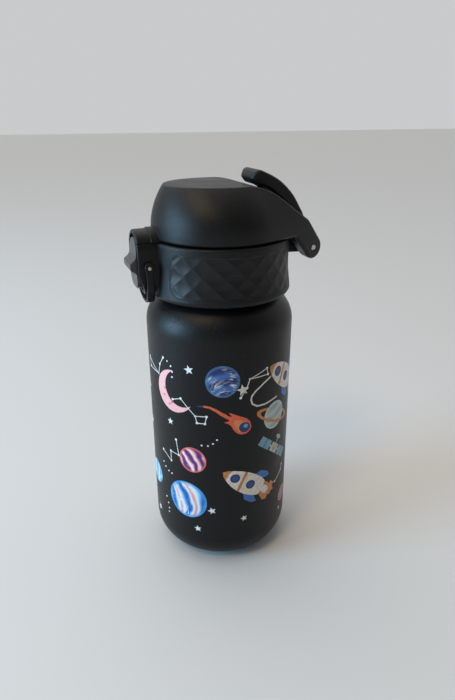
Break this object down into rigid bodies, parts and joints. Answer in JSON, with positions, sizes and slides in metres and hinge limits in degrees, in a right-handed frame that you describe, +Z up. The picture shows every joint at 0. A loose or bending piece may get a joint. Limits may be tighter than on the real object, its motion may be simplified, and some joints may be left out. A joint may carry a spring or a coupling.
{
  "type": "kids water bottle",
  "caption": "Small round insulated bottle with a threaded lid, a flip-up cap opened by a front button, a lock bail and a finger loop.",
  "frame": {"origin": "centre of the bottle's base, on the surface that it stands on", "axes": "+Z up along the bottle's axis, -Y towards the front button, +Y towards the rear hinge, +X to the button's left as seen from behind the bottle"},
  "size_m": [0.07, 0.0896, 0.1921],
  "materials": {
    "body_coat": "matte black powder coat with a printed night sky pattern",
    "steel": "brushed stainless steel",
    "lid_plastic": "finely textured matte black plastic",
    "grip_rubber": "smooth satin black rubber with shallow diamond facets",
    "spout_plastic": "satin black plastic",
    "button_plastic": "satin black plastic",
    "silicone": "translucent grey silicone",
    "pin_metal": "plain metal pin ends"
  },
  "bodies": {
    "bottle": {"outer_shell": "body_coat", "inner_flask": "steel", "vacuum_base": "steel", "base_disc": "body_coat", "getter": "steel"},
    "gasket": {"neck_gasket": "silicone"},
    "lid": {"spout_insert": "lid_plastic", "spout": "spout_plastic", "vent_valve": "silicone", "lid_collar": "lid_plastic", "grip_panel_right": "grip_rubber", "grip_panel_left": "grip_rubber", "hinge_pin": "steel", "lid_spring": "steel", "latch_pin": "pin_metal", "latch_spring": "steel"},
    "cap": {"cap_shell": "lid_plastic", "cap_liner": "spout_plastic", "spout_seal": "silicone"},
    "loop": {"carry_loop": "lid_plastic"},
    "button": {"latch_button": "button_plastic"},
    "bail": {"lock_bail": "lid_plastic"}
  },
  "joints": [
    {"name": "lid_lift", "type": "slide", "parent": "bottle", "child": "gasket", "axis": [0, 0, 1], "range_m": [0, 0.006]},
    {"name": "lid_turn", "type": "hinge", "parent": "gasket", "child": "lid", "pos_m": [0, 0, 0.1569], "axis": [0, 0, 1], "range_deg": [0, 540]},
    {"name": "cap_flip", "type": "hinge", "parent": "lid", "child": "cap", "pos_m": [0, 0.0415, 0.1575], "axis": [-1, 0, 0], "range_deg": [0, 110], "deforming": ["lid_spring"]},
    {"name": "loop_swing", "type": "hinge", "parent": "cap", "child": "loop", "pos_m": [0, 0.0415, 0.1575], "axis": [-1, 0, 0], "range_deg": [0, 100]},
    {"name": "button_press", "type": "hinge", "parent": "lid", "child": "button", "pos_m": [0, -0.0353, 0.154], "axis": [1, 0, 0], "range_deg": [0, 12], "stiffness_Nm_per_rad": 0.05, "deforming": ["latch_spring"]},
    {"name": "bail_lock", "type": "hinge", "parent": "lid", "child": "bail", "pos_m": [0, -0.0353, 0.154], "axis": [-1, 0, 0], "range_deg": [0, 169]}
  ],
  "couplings": [
    {"joint": "lid_turn", "follows": "lid_lift", "rad_per_m": 1570.8}
  ]
}
